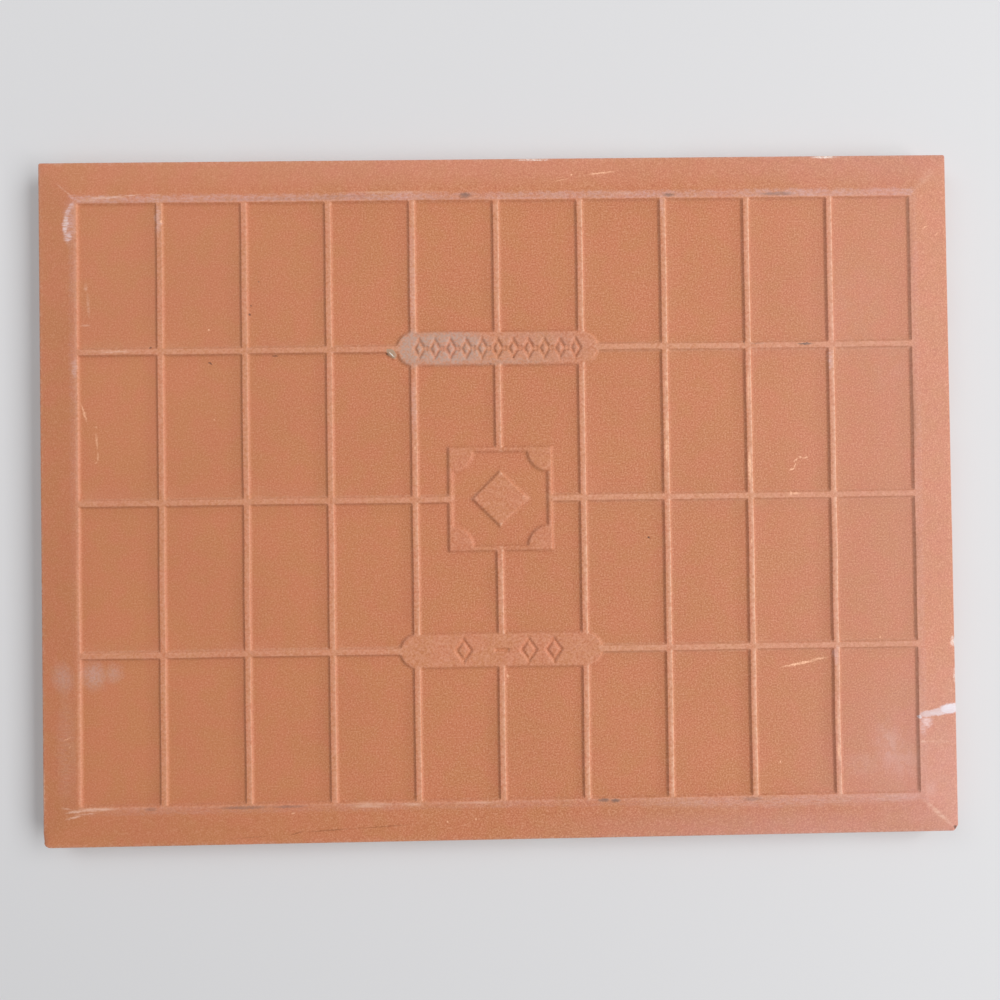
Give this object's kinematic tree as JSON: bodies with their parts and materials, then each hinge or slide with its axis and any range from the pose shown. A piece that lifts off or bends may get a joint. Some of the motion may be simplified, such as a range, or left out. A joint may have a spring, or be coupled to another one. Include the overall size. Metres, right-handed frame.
{
  "type": "ceramic wall tile",
  "caption": "Rectangular red-clay wall tile lying glazed face down, with a drafted rib grid, round-ended pads, a square emblem and a bevelled border on its back.",
  "frame": {"origin": "centre of the glazed face, which lies on the ground", "axes": "+X along the tile's length, +Y across its width, +Z out of the ribbed back"},
  "size_m": [0.2, 0.1494, 0.007],
  "materials": {
    "biscuit": "matt fired red clay, with a plain off-white glaze on the face"
  },
  "bodies": {
    "root": {"tile": "biscuit"}
  },
  "joints": []
}
